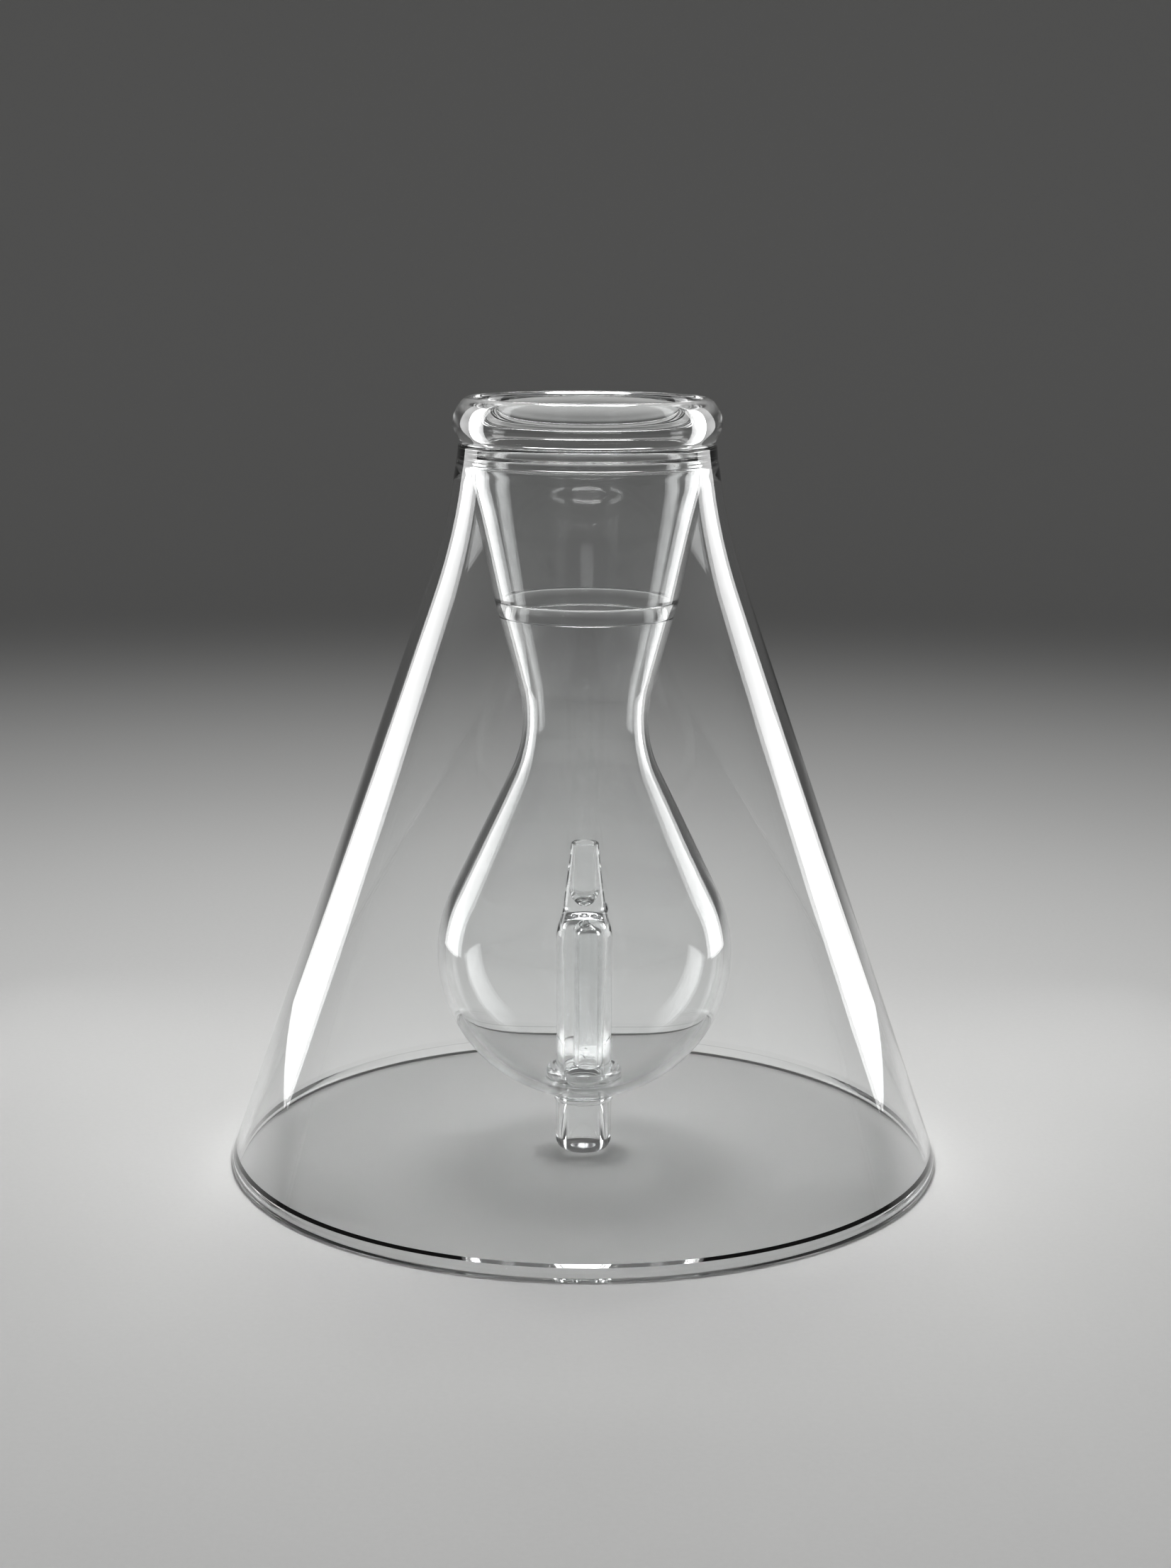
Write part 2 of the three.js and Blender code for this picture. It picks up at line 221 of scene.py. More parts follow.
def combined(piece: bpy.types.Object, tool: bpy.types.Object, operation: str) -> None:
    """Cuts a tool out of a piece, or joins it on, and removes the tool.

    Args:
        piece: The piece that is changed.
        tool: The cutter or lump.
        operation: DIFFERENCE or UNION.
    """
    deselect()
    piece.select_set(True)
    bpy.context.view_layer.objects.active = piece
    boolean = piece.modifiers.new("flame work", "BOOLEAN")
    boolean.object = tool
    boolean.operation = operation
    boolean.solver = "EXACT"
    bpy.ops.object.modifier_apply(modifier=boolean.name)
    bpy.data.objects.remove(tool)


def drill(start: Vector, direction: Vector, radius: float, length: float) -> bpy.types.Object:
    """A round drill.

    Args:
        start: Where its axis starts, in mm.
        direction: Where it points.
        radius: Its radius in mm.
        length: Its length in mm.

    Returns:
        The drill.
    """
    way = direction.normalized()
    deselect()
    bpy.ops.mesh.primitive_cylinder_add(
        vertices=DRILL_STEPS, radius=radius * MM, depth=length * MM,
        location=(start + way * (length / 2)) * MM,
        rotation=way.to_track_quat("Z", "Y").to_euler())
    return bpy.context.object


# ---------------------------------------------------------------- finishes


def linear(code: str, alpha: float = 1.0) -> tuple[float, float, float, float]:
    """Turns an sRGB hex colour into a linear one.

    Args:
        code: Colour such as #ffffff.
        alpha: Alpha of the result.

    Returns:
        Red, green, blue and alpha.
    """
    parts = [int(code[i:i + 2], 16) / 255 for i in (1, 3, 5)]
    red, green, blue = (p / 12.92 if p <= 0.04045 else ((p + 0.055) / 1.055) ** 2.4
                        for p in parts)
    return red, green, blue, alpha


def add_node(tree: bpy.types.NodeTree, kind: str, settings: dict[str, object] | None = None,
             links: dict[str | int, bpy.types.NodeSocket] | None = None) -> bpy.types.Node:
    """Adds a node with its settings and links.

    Args:
        tree: Tree that it joins.
        kind: Type of node, such as ShaderNodeTexNoise.
        settings: Properties, and inputs by name, with their values.
        links: Inputs by name or number, with the sockets that feed them.

    Returns:
        The node.
    """
    node = tree.nodes.new(kind)
    for key, value in (settings or {}).items():
        if key in node.inputs:
            node.inputs[key].default_value = value
        else:
            setattr(node, key, value)
    for key, source in (links or {}).items():
        tree.links.new(source, node.inputs[key])
    return node


@dataclass(frozen=True)
class ClearGlass:
    """Clear borosilicate glass with the ripples that its making left in it.

    Attributes:
        name: What the glass is and how its surface was made.
        slot: Slot of the record; not used.
        tints: Two close tints that it drifts between, nearly white in this clean glass.
        gloss: Lowest and highest roughness, from bare glass to a faint film.
        film: Size of a patch of that film in mm.
        ripple: Distance between ripples in mm, measured round the piece.
        stretch: How much longer a ripple is along the axis than round it.
        depth: Height of the ripples in mm.
        seed_spacing: Distance between seeds, the tiny bubbles of a flame-worked seal, in mm.
        seed_size: Radius of a seed in mm, drawn a little large so that it shows.
    """

    name: str
    slot: Slot
    tints: tuple[str, str] = ("#ffffff", "#fdfefe")
    gloss: tuple[float, float] = (0.0, 0.006)
    film: float = 14.0
    ripple: float = 9.0
    stretch: float = 5.0
    depth: float = 0.012
    seed_spacing: float = 16.0
    seed_size: float = 0.16

    IOR = 1.474  # borosilicate 3.3 at the sodium line
    FILM_EDGES = (0.42, 0.75)  # noise values where the film starts and is full
    GIRTH_RADIUS = 30.0  # mm, the radius at which a ripple round the piece has its size

    def material(self) -> bpy.types.Material:
        """Builds the material.

        Returns:
            The material, or the one that was built before.
        """
        found = bpy.data.materials.get(self.name)
        if found:
            return found
        made = bpy.data.materials.new(self.name)
        made.use_nodes = True
        tree = made.node_tree
        tree.nodes.clear()
        place = add_node(tree, "ShaderNodeTexCoord").outputs["Object"]
        drift = add_node(tree, "ShaderNodeTexNoise",
                         {"Scale": 1 / (self.film * MM), "Detail": 3.0, "Roughness": 0.6},
                         {"Vector": place})
        tint = add_node(tree, "ShaderNodeMix",
                        {"data_type": "RGBA"},
                        {"Factor": drift.outputs["Fac"]})
        tint.inputs[6].default_value = linear(self.tints[0])
        tint.inputs[7].default_value = linear(self.tints[1])
        gloss = add_node(tree, "ShaderNodeMapRange",
                         {"From Min": self.FILM_EDGES[0], "From Max": self.FILM_EDGES[1],
                          "To Min": self.gloss[0], "To Max": self.gloss[1]},
                         {"Value": drift.outputs["Fac"]})
        shader = add_node(tree, "ShaderNodeBsdfPrincipled",
                          {"Transmission Weight": 1.0, "IOR": self.IOR},
                          {"Base Color": tint.outputs[2], "Roughness": gloss.outputs["Result"],
                           "Normal": self._relief(tree, place)})
        add_node(tree, "ShaderNodeOutputMaterial", links={"Surface": shader.outputs["BSDF"]})
        return made

    def _relief(self, tree: bpy.types.NodeTree,
                place: bpy.types.NodeSocket) -> bpy.types.NodeSocket:
        """Ripples that run down the wall, with seeds on top of them.

        Args:
            tree: Tree of the material.
            place: Object coordinates.

        Returns:
            The normal.
        """
        flat = add_node(tree, "ShaderNodeVectorMath", {"operation": "MULTIPLY"}, {0: place})
        flat.inputs[1].default_value = (1.0, 1.0, 0.0)
        round_wall = add_node(tree, "ShaderNodeVectorMath", {"operation": "NORMALIZE"},
                              {0: flat.outputs[0]})
        girth = add_node(tree, "ShaderNodeVectorMath", {"operation": "SCALE"},
                         {0: round_wall.outputs[0]})
        girth.inputs["Scale"].default_value = self.GIRTH_RADIUS / self.ripple
        along = add_node(tree, "ShaderNodeVectorMath", {"operation": "MULTIPLY"}, {0: place})
        along.inputs[1].default_value = (0.0, 0.0, 1 / (self.ripple * self.stretch * MM))
        wall = add_node(tree, "ShaderNodeVectorMath", {"operation": "ADD"},
                        {0: girth.outputs[0], 1: along.outputs[0]})
        ripples = add_node(tree, "ShaderNodeTexNoise",
                           {"Scale": 1.0, "Detail": 2.0, "Roughness": 0.45},
                           {"Vector": wall.outputs[0]})
        rippled = add_node(tree, "ShaderNodeBump",
                           {"Strength": 1.0, "Distance": self.depth * MM},
                           {"Height": ripples.outputs["Fac"]})
        seeds = add_node(tree, "ShaderNodeTexVoronoi",
                         {"Scale": 1 / (self.seed_spacing * MM), "Randomness": 1.0},
                         {"Vector": place})
        edge = self.seed_size / self.seed_spacing
        raised = add_node(tree, "ShaderNodeMapRange",
                          {"interpolation_type": "SMOOTHSTEP", "From Min": 0.0,
                           "From Max": edge, "To Min": 1.0, "To Max": 0.0},
                          {"Value": seeds.outputs["Distance"]})
        seeded = add_node(tree, "ShaderNodeBump",
                          {"Strength": 1.0, "Distance": self.seed_size * 0.5 * MM},
                          {"Height": raised.outputs["Result"],
                           "Normal": rippled.outputs["Normal"]})
        return seeded.outputs["Normal"]


# Blown wall: long shallow ripples down the skirt, where the gather was drawn out.
BLOWN_SKIRT = ClearGlass("blown borosilicate skirt", Slot.SKIRT, ripple=8.0, stretch=6.0,
                         depth=0.010)
# Blown wall of the vessel: closer ripples, thin glass.
BLOWN_VESSEL = ClearGlass("blown borosilicate vessel", Slot.VESSEL, ripple=6.0, stretch=6.0,
                          depth=0.010)
# Drawn tube: straight, fine draw lines along the whole length.
DRAWN_TUBE = ClearGlass("drawn borosilicate tube", Slot.TUBE, ripple=5.0, stretch=30.0,
                        depth=0.004)
# Flame-sealed joint: short ripples and more seeds, where two pieces were melted together.
FLAME_SEAL = ClearGlass("flame-sealed borosilicate joint", Slot.SEAL, ripple=5.0, stretch=0.6,
                        depth=0.008, seed_spacing=6.0)
# Fire-polished edge: glossy and rounded, with soft shallow waves.
FIRE_POLISHED = ClearGlass("fire-polished borosilicate edge", Slot.FIRE_POLISHED, ripple=7.0,
                           stretch=1.5, depth=0.007, seed_spacing=9.0)


def finished(piece: bpy.types.Object, finish: ClearGlass, *nodes: str) -> bpy.types.Object:
    """Smooths and dresses a piece, and puts it in place of its CAD nodes.

    Args:
        piece: The piece.
        finish: Its finish.
        *nodes: CAD nodes that it stands for.

    Returns:
        The same piece.
    """
    deselect()
    piece.select_set(True)
    bpy.context.view_layer.objects.active = piece
    bpy.ops.object.shade_smooth_by_angle(angle=CREASE)
    piece.data.materials.clear()
    piece.data.materials.append(finish.material())
    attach(piece, ROOT)
    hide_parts(*nodes)
    return piece


# ---------------------------------------------------------------- pieces of glass


@dataclass
class Skirt:
    """The conical skirt with its foot, and the cup that is sealed into its neck.

    Skirt, collar, ledge and cup are one continuous wall here, as the flame left them.
    """

    wall: float = 2.0
    level_wall: float = 2.12  # the same wall measured level, across the slope
    slope: float = 0.349  # radius lost per millimetre of height
    cone_radius: float = 80.3  # the straight cone carried down to the table
    cone_top: float = 130.0
    cone_rings: tuple[float, ...] = (20.0, 50.0, 90.0)
    foot_top: float = 3.0
    foot_width: float = 2.9
    foot_rounding: float = 0.85
    neck_radius: float = 29.05
    neck_height: float = 154.0
    neck_slope: float = 0.13
    collar_radius: float = 28.2
    collar_top: float = 160.97
    mouth_radius: float = 25.8
    ledge_radius: float = 24.2
    ledge_top: float = 158.6
    gap_top: float = 156.9  # top of the rounded gap between skirt and cup
    cup_wall: float = 1.8
    cup_top: float = 155.9
    cup_top_radius: float = 26.5
    cup_bottom_radius: float = 20.3

    def build(self) -> list[bpy.types.Object]:
        """Builds the foot and the skirt with its cup.

        Returns:
            The two pieces.
        """
        return [self._foot(), self._skirt_and_cup()]

    def _cone(self, height: float) -> float:
        """Radius of the straight cone at a height."""
        return self.cone_radius - self.slope * height

    def _foot(self) -> bpy.types.Object:
        """The fire-polished foot ring."""
        tilt = math.degrees(math.atan(self.slope))
        bend = self.foot_rounding
        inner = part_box("foot_rim")[1].x / MM - self.foot_width
        outer_centre = self._cone(bend) - bend / math.cos(math.radians(tilt))
        section = [
            *arc((inner + bend, bend), bend, bend, 180, 270, 8),
            *arc((outer_centre, bend), bend, bend, 270, 360 + tilt, 12),
            (self._cone(self.foot_top), self.foot_top),
            (self._cone(self.foot_top) - self.level_wall, self.foot_top),
            (inner - 0.05, self.foot_top - 0.8),
        ]
        return finished(turned("foot", section, FINE), FIRE_POLISHED, "foot_rim")

    def _skirt_and_cup(self) -> bpy.types.Object:
        """Skirt, collar, ledge and cup."""
        bottom = self.foot_top + HAIRLINE
        reach = (self.neck_height - self.cone_top) / 3
        flare = bezier(
            (self._cone(self.cone_top), self.cone_top),
            (self._cone(self.cone_top + reach), self.cone_top + reach),
            (self.neck_radius + self.neck_slope * reach, self.neck_height - reach),
            (self.neck_radius, self.neck_height), 20)
        outer = [(self._cone(h), h) for h in (bottom, *self.cone_rings)] + flare
        inner = inward(outer, self.wall)
        inner[0] = (self._cone(bottom) - self.level_wall, bottom)
        cup_outer, cup_inner = self._cup_faces()
        middle = (inner[-1][0] + cup_outer[-1][0]) / 2
        ceiling = arc((middle, cup_outer[-1][1]), inner[-1][0] - middle,
                      self.gap_top - cup_outer[-1][1], 180, 0, 12)
        section = [
            *outer,
            *bezier(outer[-1], (self.neck_radius - 0.4, self.neck_height + 2.6),
                    (self.collar_radius + 0.1, self.collar_top - 3.0),
                    (self.collar_radius, self.collar_top - 0.85), 8)[1:],
            *arc((self.collar_radius - 0.55, self.collar_top - 0.65), 0.55, 0.6, 0, 50, 5),
            (self.collar_radius - 1.0, self.collar_top),
            (self.mouth_radius + 0.3, self.collar_top),
            (self.mouth_radius, self.collar_top - 0.35),
            *arc((self.mouth_radius - 0.6, self.ledge_top + 0.6), 0.6, 0.6, 0, -90, 7),
            *arc((self.ledge_radius + 0.7, self.ledge_top - 0.85), 0.7, 0.85, 90, 180, 8),
            *bezier((self.ledge_radius, self.ledge_top - 1.2),
                    (self.ledge_radius, self.ledge_top - 4.0),
                    (cup_inner[-1][0] + 0.7, cup_inner[-1][1] + 3.2), cup_inner[-1], 10),
            *reversed(cup_inner[:-1]),
            *cup_outer,
            *ceiling[1:-1],
            *reversed(inner),
        ]
        return finished(turned("skirt_and_cup", section, FINE), BLOWN_SKIRT,
                        "skirt_cone", "neck_collar", "ring_seal", "filter_cup")

    def _cup_faces(self) -> tuple[list[Point], list[Point]]:
        """Outer and inner face of the cup.

        Returns:
            The two faces, drawn upwards.
        """
        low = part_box("cup_joint_band")[1].z / MM + HAIRLINE
        lean = (self.cup_top_radius - self.cup_bottom_radius) / (self.cup_top - low)
        set_in = self.cup_wall * math.hypot(1, lean)

        def face(heights: Sequence[float], depth: float) -> list[Point]:
            """A straight face at some depth behind the outer one."""
            return [(self.cup_bottom_radius + lean * (h - low) - depth, h) for h in heights]

        return (face([low, low + 10, low + 20, self.cup_top - 2], 0.0),
                face([low, low + 10, low + 20], set_in))


@dataclass
class Lip:
    """The thick rolled lip, with the groove that it leaves above the collar."""

    radius: float = 29.3
    widest: float = 165.4  # height where the lip stands out furthest
    crest_radius: float = 25.9
    foot_radius: float = 27.7
    foot: float = 160.99
    groove: float = 0.35
    inner_radius: float = 24.5
    inner_top: float = 167.8  # the inside is straight between these heights
    inner_foot: float = 163.5
    mouth_radius: float = 26.0

    def build(self) -> list[bpy.types.Object]:
        """Builds the lip.

        Returns:
            The lip.
        """
        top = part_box("lip_bead")[1].z / MM
        neck = self.foot + self.groove
        section = [
            (self.foot_radius, self.foot),
            *bezier((self.foot_radius, neck), (28.2, 162.4), (self.radius, 163.7),
                    (self.radius, self.widest), 18),
            *bezier((self.radius, self.widest), (self.radius, 167.6), (27.6, top - 0.2),
                    (self.crest_radius, top), 30)[1:],
            *bezier((self.crest_radius, top), (24.9, top), (self.inner_radius, 169.8),
                    (self.inner_radius, self.inner_top), 20)[1:],
            *bezier((self.inner_radius, self.inner_foot), (self.inner_radius, 162.2),
                    (25.2, neck + 0.2), (self.mouth_radius, neck), 12),
            (self.mouth_radius, self.foot),
        ]
        return [finished(turned("lip", section, FINE), FIRE_POLISHED, "lip_bead")]


@dataclass
class JointBand:
    """The thick band where the cup and the funnel are sealed."""

    top_radius: float = 20.2
    bottom_radius: float = 19.4
    top_bore: float = 18.4
    bottom_bore: float = 17.5
    rounding: float = 0.45
    edge: float = 0.25  # rounding of the inner edges

    def build(self) -> list[bpy.types.Object]:
        """Builds the band.

        Returns:
            The band.
        """
        low, high = (corner.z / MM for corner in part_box("cup_joint_band"))
        bend = self.rounding
        section = [
            *arc((self.bottom_radius - bend, low + bend), bend, bend, -90, 0, 6),
            *arc((self.top_radius - bend, high - bend), bend, bend, 0, 90, 6),
            *arc((self.top_bore + self.edge, high - self.edge), self.edge, self.edge,
                 90, 180, 5),
            *arc((self.bottom_bore + self.edge, low + self.edge), self.edge, self.edge,
                 180, 270, 5),
        ]
        return [finished(turned("joint_band", section, MEDIUM), FLAME_SEAL, "cup_joint_band")]


@dataclass
class Bulb:
    """The funnel, the waist and the blown bulb, drawn from one gather of glass."""

    wall: float = 1.8
    radius: float = 33.1
    centre_height: float = 47.0
    shoulder_angle: float = 26.0  # degrees from the vertical
    waist_radius: float = 13.9
    waist_bend: float = 27.0
    funnel_angle: float = 15.4  # degrees from the vertical
    hole_radius: float = 9.3

    def build(self) -> list[bpy.types.Object]:
        """Builds the bulb with its shoulder, waist and funnel.

        Returns:
            The bulb.
        """
        shoulder = math.radians(self.shoulder_angle)
        bend_centre_radius = self.waist_radius + self.waist_bend
        drop = (self.radius + self.waist_bend) * math.cos(shoulder) - bend_centre_radius
        waist_height = (self.centre_height + (self.radius + self.waist_bend)
                        * math.sin(shoulder) + drop / math.tan(shoulder))
        hole = -math.degrees(math.acos(self.hole_radius / self.radius))
        bend = arc((bend_centre_radius, waist_height), self.waist_bend, self.waist_bend,
                   180 + self.shoulder_angle, 180 - self.funnel_angle, 40)
        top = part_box("cup_joint_band")[0].z / MM - HAIRLINE
        lean = math.tan(math.radians(self.funnel_angle))
        end_radius = bend[-1][0] + (top - bend[-1][1]) * lean
        outer = [
            *arc((0.0, self.centre_height), self.radius, self.radius, hole,
                 self.shoulder_angle, 90),
            *bend,
            (end_radius, top),
        ]
        inner = inward(outer, self.wall)
        inner[-1] = (end_radius - self.wall * math.hypot(1, lean), top)
        section = [*outer, *reversed(inner)]
        return [finished(turned("waist_and_bulb", section, FINE), BLOWN_VESSEL,
                         "waist_funnel", "brew_bulb")]


@dataclass
class FloorSeal:
    """The flange under the bulb's floor and the ridge above it, round the siphon's foot."""

    bore: float = 6.37
    flange_bottom: float = 12.4
    flange_edge: float = 0.3
    flange_shoulder: float = 15.1
    flange_radius: float = 9.24
    flange_top: float = 16.95
    flange_top_radius: float = 8.74
    ridge_radius: float = 8.7
    ridge_groove: float = 6.75

    def build(self) -> list[bpy.types.Object]:
        """Builds the flange and the ridge.

        Returns:
            The two pieces.
        """
        return [self._flange(), self._ridge()]

    def _flange(self) -> bpy.types.Object:
        """The flared flange under the floor."""
        start = self.bore + self.flange_edge
        lift = self.flange_shoulder - self.flange_edge - self.flange_bottom
        flare = bezier((start, self.flange_bottom), (start, self.flange_bottom + lift * 0.67),
                       (self.flange_radius - 1.6, self.flange_shoulder - 0.45),
                       (self.flange_radius, self.flange_shoulder), 16)
        section = [(self.bore, self.flange_bottom), *flare,
                   (self.flange_top_radius, self.flange_top),
                   (self.bore, self.flange_top)]
        return finished(turned("floor_flange_seal", section, COARSE), FLAME_SEAL,
                        "floor_flange")

    def _ridge(self) -> bpy.types.Object:
        """The raised ridge inside the bulb."""
        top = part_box("floor_ridge")[1].z / MM
        low = self.flange_top + HAIRLINE
        half_width = (self.ridge_radius - self.ridge_groove) / 2
        centre = (self.ridge_groove + half_width, top - half_width)
        section = [
            (self.bore, low),
            (self.ridge_radius - 0.25, low),
            (self.ridge_radius, low + 0.3),
            *arc(centre, half_width, half_width, 0, 180, 18),
            (self.ridge_groove - 0.05, low + 0.9),
            (self.bore, low + 0.7),
        ]
        return finished(turned("floor_ridge_seal", section, COARSE), FLAME_SEAL,
                        "floor_ridge")


@dataclass
class Siphon:
    """The outer tube with its drawn-down cap, and the standpipe hung inside it."""

    radius: float = 6.3
    bore: float = 4.6
    foot: float = 18.17
    shoulder: float = 50.2
    inlet_radius: float = 1.2
    inlet_height: float = 22.0
    mouth_radius: float = 3.15
    neck_radius: float = 4.75
    neck_height: float = 57.5
    draw: float = 2.8
    spring: float = 51.8  # where the ceiling starts to close
    ceiling: float = 56.1
    vent_floor: float = 57.4
    vent_radius: float = 2.1
    vent_taper: float = 62.5
    vent_flare: float = 0.45
    pipe_radius: float = 3.35
    pipe_bore: float = 2.1
    pipe_offset: float = 0.95
    pipe_shoulder: float = 51.9
    bore_shoulder: float = 50.6  # lower, because the dome is melted thick
    port_radius: float = 1.1
    port_way: Vector = Vector((-0.35, -0.6, 0.72))
    lump_place: Vector = Vector((3.95, 0.0, 56.7))
    lump_size: Vector = Vector((1.35, 1.2, 1.7))

    def build(self) -> list[bpy.types.Object]:
        """Builds the capped tube and the standpipe.

        Returns:
            The two pieces.
        """
        return [self._tube(), self._standpipe()]

    def _tube(self) -> bpy.types.Object:
        """The outer tube, capped, with its inlet and the weld's lump."""
        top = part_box("siphon_cap")[1].z / MM
        rim = (self.mouth_radius - self.vent_radius) / 2
        taper = bezier((self.radius, self.shoulder), (self.radius, self.shoulder + self.draw),
                       (self.neck_radius + 0.25, self.neck_height - self.draw),
                       (self.neck_radius, self.neck_height), 18)
        stem = bezier((self.neck_radius, self.neck_height),
                      (self.neck_radius - 0.28, self.neck_height + 2.8),
                      (self.mouth_radius + 0.3, top - 5.5),
                      (self.mouth_radius, top - rim), 18)[1:]
        vent_width = self.vent_radius + self.vent_flare
        section = [
            *reversed(arc((0.0, self.vent_taper), vent_width,
                          self.vent_taper - self.vent_floor, 0, -90, 16)[:-1]),
            (self.vent_radius, top - rim),
        ]
        section = [(0.0, self.vent_floor), *section]
        section += arc((self.mouth_radius - rim, top - rim), rim, rim, 180, 0, 10)[1:-1]
        section += [*reversed(stem), *reversed(taper)]
        section += [(self.radius, self.foot), (self.bore, self.foot)]
        section += arc((0.0, self.spring), self.bore, self.ceiling - self.spring,
                       0, 90, 18)[:-1]
        section.append((0.0, self.ceiling))
        tube = turned("siphon_tube_and_cap", section, COARSE)
        combined(tube, drill(Vector((0, 0, self.inlet_height)), Vector((0, 1, 0)),
                             self.inlet_radius, self.radius * 2), "DIFFERENCE")
        combined(tube, self._lump(), "UNION")
        return finished(tube, DRAWN_TUBE, "siphon_tube", "siphon_cap", "standpipe_weld")

    def _lump(self) -> bpy.types.Object:
        """The small lump that the weld raised on the cap."""
        deselect()
        bpy.ops.mesh.primitive_uv_sphere_add(segments=48, ring_count=24, radius=MM,
                                             location=self.lump_place * MM)
        lump = bpy.context.object
        lump.scale = self.lump_size
        return lump

    def _standpipe(self) -> bpy.types.Object:
        """The standpipe, closed at the top but for a port in its dome."""
        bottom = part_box("standpipe")[0].z / MM
        centre = (0.0, self.pipe_shoulder)
        rim = (self.pipe_radius - self.pipe_bore) / 2
        section = [
            (0.0, self.bore_shoulder + self.pipe_bore),
            *arc((0.0, self.bore_shoulder), self.pipe_bore, self.pipe_bore, 90, 0, 14)[1:],
            *arc((self.pipe_bore + rim, bottom + rim), rim, rim, 180, 360, 12),
            *arc(centre, self.pipe_radius, self.pipe_radius, 0, 90, 18)[:-1],
            (0.0, self.pipe_shoulder + self.pipe_radius),
        ]
        pipe = turned("siphon_standpipe", section, COARSE)
        combined(pipe, drill(Vector((0, 0, self.pipe_shoulder)), self.port_way,
                             self.port_radius, self.pipe_radius * 2), "DIFFERENCE")
        moved(pipe, Vector((self.pipe_offset, 0, 0)))
        return finished(pipe, DRAWN_TUBE, "standpipe")


@dataclass
class Outlet:
    """The thick outlet tube with its fire-polished tip."""

    radius: float = 6.35
    bore: float = 3.8
    top: float = 18.15
    tip_top: float = 3.1
    land: float = 0.35

    def build(self) -> list[bpy.types.Object]:
        """Builds the outlet tube.

        Returns:
            The outlet tube.
        """
        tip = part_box("outlet_tip")[0].z / MM
        land = self.bore + self.land
        section = [
            (self.bore, self.top),
            (self.bore, tip + 0.25),
            (self.bore + 0.08, tip + 0.06),
            *arc((land, self.tip_top), self.radius - land, self.tip_top - tip, -90, 0, 14),
            (self.radius, self.top),
        ]
        return [finished(turned("outlet", section, COARSE), DRAWN_TUBE,
                         "outlet_tube", "outlet_tip")]


# ---------------------------------------------------------------- studio


@dataclass(frozen=True)
class MattePaper:
    """Pale seamless backdrop paper: matte, with a faint fibre tooth.

    Attributes:
        name: Name of the material.
        shades: Two close greys that the fibres drift between.
        fibre: Size of the tooth in mm.
        roughness: Roughness of uncoated paper.
    """

    name: str = "pale backdrop paper"
    shades: tuple[str, str] = ("#c9c9c8", "#c4c4c3")
    fibre: float = 1.2
    roughness: float = 0.85

    def material(self) -> bpy.types.Material:
        """Builds the material.

        Returns:
            The material.
        """
        made = bpy.data.materials.new(self.name)
        made.use_nodes = True
        tree = made.node_tree
        tree.nodes.clear()
        place = add_node(tree, "ShaderNodeTexCoord").outputs["Object"]
        fibres = add_node(tree, "ShaderNodeTexNoise",
                          {"Scale": 1 / (self.fibre * MM), "Detail": 4.0}, {"Vector": place})
        shade = add_node(tree, "ShaderNodeMix", {"data_type": "RGBA"},
                         {"Factor": fibres.outputs["Fac"]})
        shade.inputs[6].default_value = linear(self.shades[0])
        shade.inputs[7].default_value = linear(self.shades[1])
        tooth = add_node(tree, "ShaderNodeBump", {"Strength": 0.2, "Distance": 0.05 * MM},
                         {"Height": fibres.outputs["Fac"]})
        shader = add_node(tree, "ShaderNodeBsdfPrincipled", {"Roughness": self.roughness},
                          {"Base Color": shade.outputs[2], "Normal": tooth.outputs["Normal"]})
        add_node(tree, "ShaderNodeOutputMaterial", links={"Surface": shader.outputs["BSDF"]})
        return made


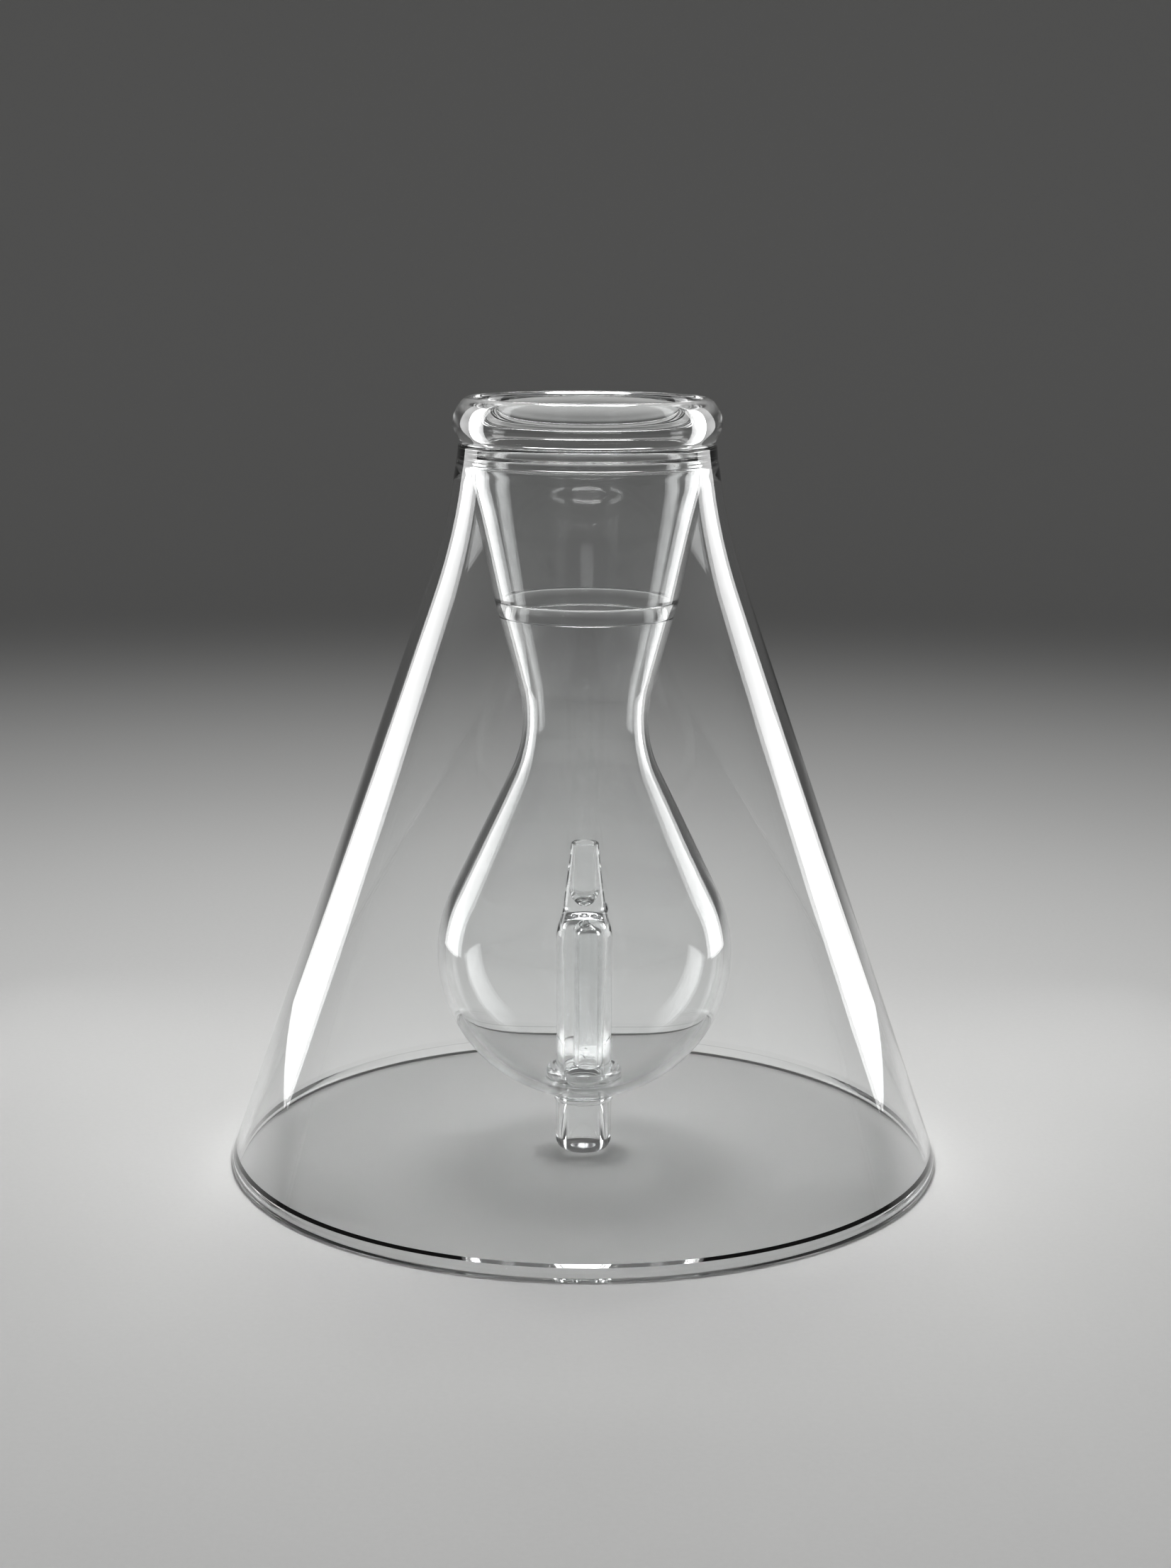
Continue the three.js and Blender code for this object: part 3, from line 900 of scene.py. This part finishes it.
@dataclass
class Studio:
    """The floor with its sweep, the soft lights and the camera."""

    floor_half: float = 4000.0
    floor_front: float = -4000.0
    sweep_start: float = 900.0
    sweep_bend: float = 500.0
    sweep_steps: int = 24
    wall_top: float = 1600.0
    camera_distance: float = 565.35
    camera_height: float = 200.93
    camera_pitch: float = 0.2015  # radians below the horizon
    camera_roll: float = 0.0060
    lens: float = 59.38
    box_near: Vector = Vector((219.4, 69.2, 0.0))  # edge on the camera's side
    box_far: Vector = Vector((172.3, 152.4, 0.0))
    box_bottom: float = 14.0
    box_top: float = 320.0
    box_power: float = 0.09
    box_spread: float = 90.0
    top_place: Vector = Vector((0, 250, 900))
    top_aim: Vector = Vector((0, 0, 60))
    top_size: tuple[float, float] = (440.0, 300.0)
    top_power: float = 2.1
    top_spread: float = 100.0
    rim_place: Vector = Vector((0, 420, 520))
    rim_aim: Vector = Vector((0, 0, 120))
    rim_size: tuple[float, float] = (240.0, 60.0)
    rim_power: float = 0.12
    rim_spread: float = 90.0
    room_level: float = 0.18

    def build(self) -> None:
        """Builds the floor, the lights and the camera."""
        self._floor()
        for side in Side:
            self._softbox(side)
        self._overhead()
        self._room()
        self._camera()

    def _floor(self) -> None:
        """A floor that sweeps up into a backdrop, drawn as one edge pushed along its line."""
        deselect()
        bpy.ops.mesh.primitive_plane_add(size=MM)
        floor = bpy.context.object
        floor.name = "backdrop_sweep"
        line = [(self.floor_front, 0.0), (self.sweep_start, 0.0)]
        line += [(self.sweep_start + self.sweep_bend * math.sin(a),
                  self.sweep_bend * (1 - math.cos(a)))
                 for a in (math.pi / 2 * i / self.sweep_steps
                           for i in range(1, self.sweep_steps + 1))]
        line.append((self.sweep_start + self.sweep_bend, self.wall_top))
        bpy.ops.object.mode_set(mode="EDIT")
        bpy.ops.mesh.select_all(action="SELECT")
        bpy.ops.mesh.merge(type="CENTER")
        bpy.ops.transform.translate(
            value=Vector((-self.floor_half, line[0][0], line[0][1])) * MM)
        bpy.ops.mesh.extrude_vertices_move(
            TRANSFORM_OT_translate={"value": (2 * self.floor_half * MM, 0, 0)})
        bpy.ops.mesh.select_all(action="SELECT")
        for here, there in zip(line, line[1:]):
            step = Vector((0.0, there[0] - here[0], there[1] - here[1])) * MM
            bpy.ops.mesh.extrude_edges_move(TRANSFORM_OT_translate={"value": step})
        bpy.ops.mesh.select_all(action="SELECT")
        bpy.ops.mesh.normals_make_consistent(inside=False)
        bpy.ops.object.mode_set(mode="OBJECT")
        bpy.ops.object.shade_smooth()
        floor.data.materials.append(MattePaper().material())

    def _area(self, name: str, place: Vector, aim: Vector, size: tuple[float, float],
              power: float, spread: float) -> None:
        """Adds a soft light.

        Args:
            name: Name of the light.
            place: Centre of its face in mm.
            aim: Point that it faces, in mm.
            size: Width and height of its face in mm.
            power: Power in watts.
            spread: Angle of its beam in degrees, as the grid on its face leaves it.
        """
        deselect()
        turn = (place - aim).to_track_quat("Z", "Y")
        bpy.ops.object.light_add(type="AREA", location=place * MM, rotation=turn.to_euler())
        light = bpy.context.object
        light.name = light.data.name = name
        light.data.shape = "RECTANGLE"
        light.data.size, light.data.size_y = size[0] * MM, size[1] * MM
        light.data.energy = power
        light.data.spread = math.radians(spread)

    def _softbox(self, side: Side) -> None:
        """A tall softbox behind the dripper, just outside the view.

        Args:
            side: Side that it stands on.
        """
        mirror = Vector((side.value, 1, 1))
        near, far = self.box_near * mirror, self.box_far * mirror
        middle = (near + far) / 2
        middle.z = (self.box_bottom + self.box_top) / 2
        size = ((far - near).length, self.box_top - self.box_bottom)
        self._area(f"softbox_{side.name.lower()}", middle, Vector((0, 0, middle.z)), size,
                   self.box_power, self.box_spread)

    def _overhead(self) -> None:
        """A soft light above the dripper, and a small one behind it for the lip."""
        self._area("overhead_softbox", self.top_place, self.top_aim, self.top_size,
                   self.top_power, self.top_spread)
        self._area("rim_light", self.rim_place, self.rim_aim, self.rim_size,
                   self.rim_power, self.rim_spread)

    def _room(self) -> None:
        """The dim room round the set."""
        world = bpy.data.worlds.new("dim room")
        world.use_nodes = True
        tree = world.node_tree
        tree.nodes.clear()
        glow = add_node(tree, "ShaderNodeBackground", {"Strength": self.room_level})
        add_node(tree, "ShaderNodeOutputWorld", links={"Surface": glow.outputs[0]})
        bpy.context.scene.world = world

    def _camera(self) -> None:
        """The camera, a little above the lip and pitched down."""
        data = bpy.data.cameras.new("camera")
        data.lens = self.lens
        data.sensor_width = SENSOR_WIDTH
        data.clip_start = 0.01
        camera = bpy.data.objects.new("camera", data)
        bpy.context.scene.collection.objects.link(camera)
        place = Vector((0.0, -self.camera_distance, self.camera_height)) * MM
        camera.matrix_world = (Matrix.Translation(place)
                               @ Matrix.Rotation(math.pi / 2 - self.camera_pitch, 4, "X")
                               @ Matrix.Rotation(self.camera_roll, 4, "Z"))
        bpy.context.scene.camera = camera


def set_light_paths() -> None:
    """Lets a ray through every wall of the nested glass, up to 16 faces and back."""
    cycles = bpy.context.scene.cycles
    cycles.max_bounces = 40
    cycles.transmission_bounces = 40
    cycles.glossy_bounces = 12
    cycles.transparent_max_bounces = 16
    cycles.blur_glossy = 0.0
    bpy.context.scene.view_settings.view_transform = "Standard"


def main() -> None:
    """Builds the dripper piece by piece, then the studio."""
    logging.basicConfig(level=logging.INFO, format="%(name)s: %(message)s")
    for group in (Skirt(), Lip(), JointBand(), Bulb(), FloorSeal(), Siphon(), Outlet()):
        for piece in group.build():
            log.info("%s: %s, %d faces", type(group).__name__, piece.name,
                     len(piece.data.polygons))
    Studio().build()
    set_light_paths()


if __name__ == "__main__":
    main()
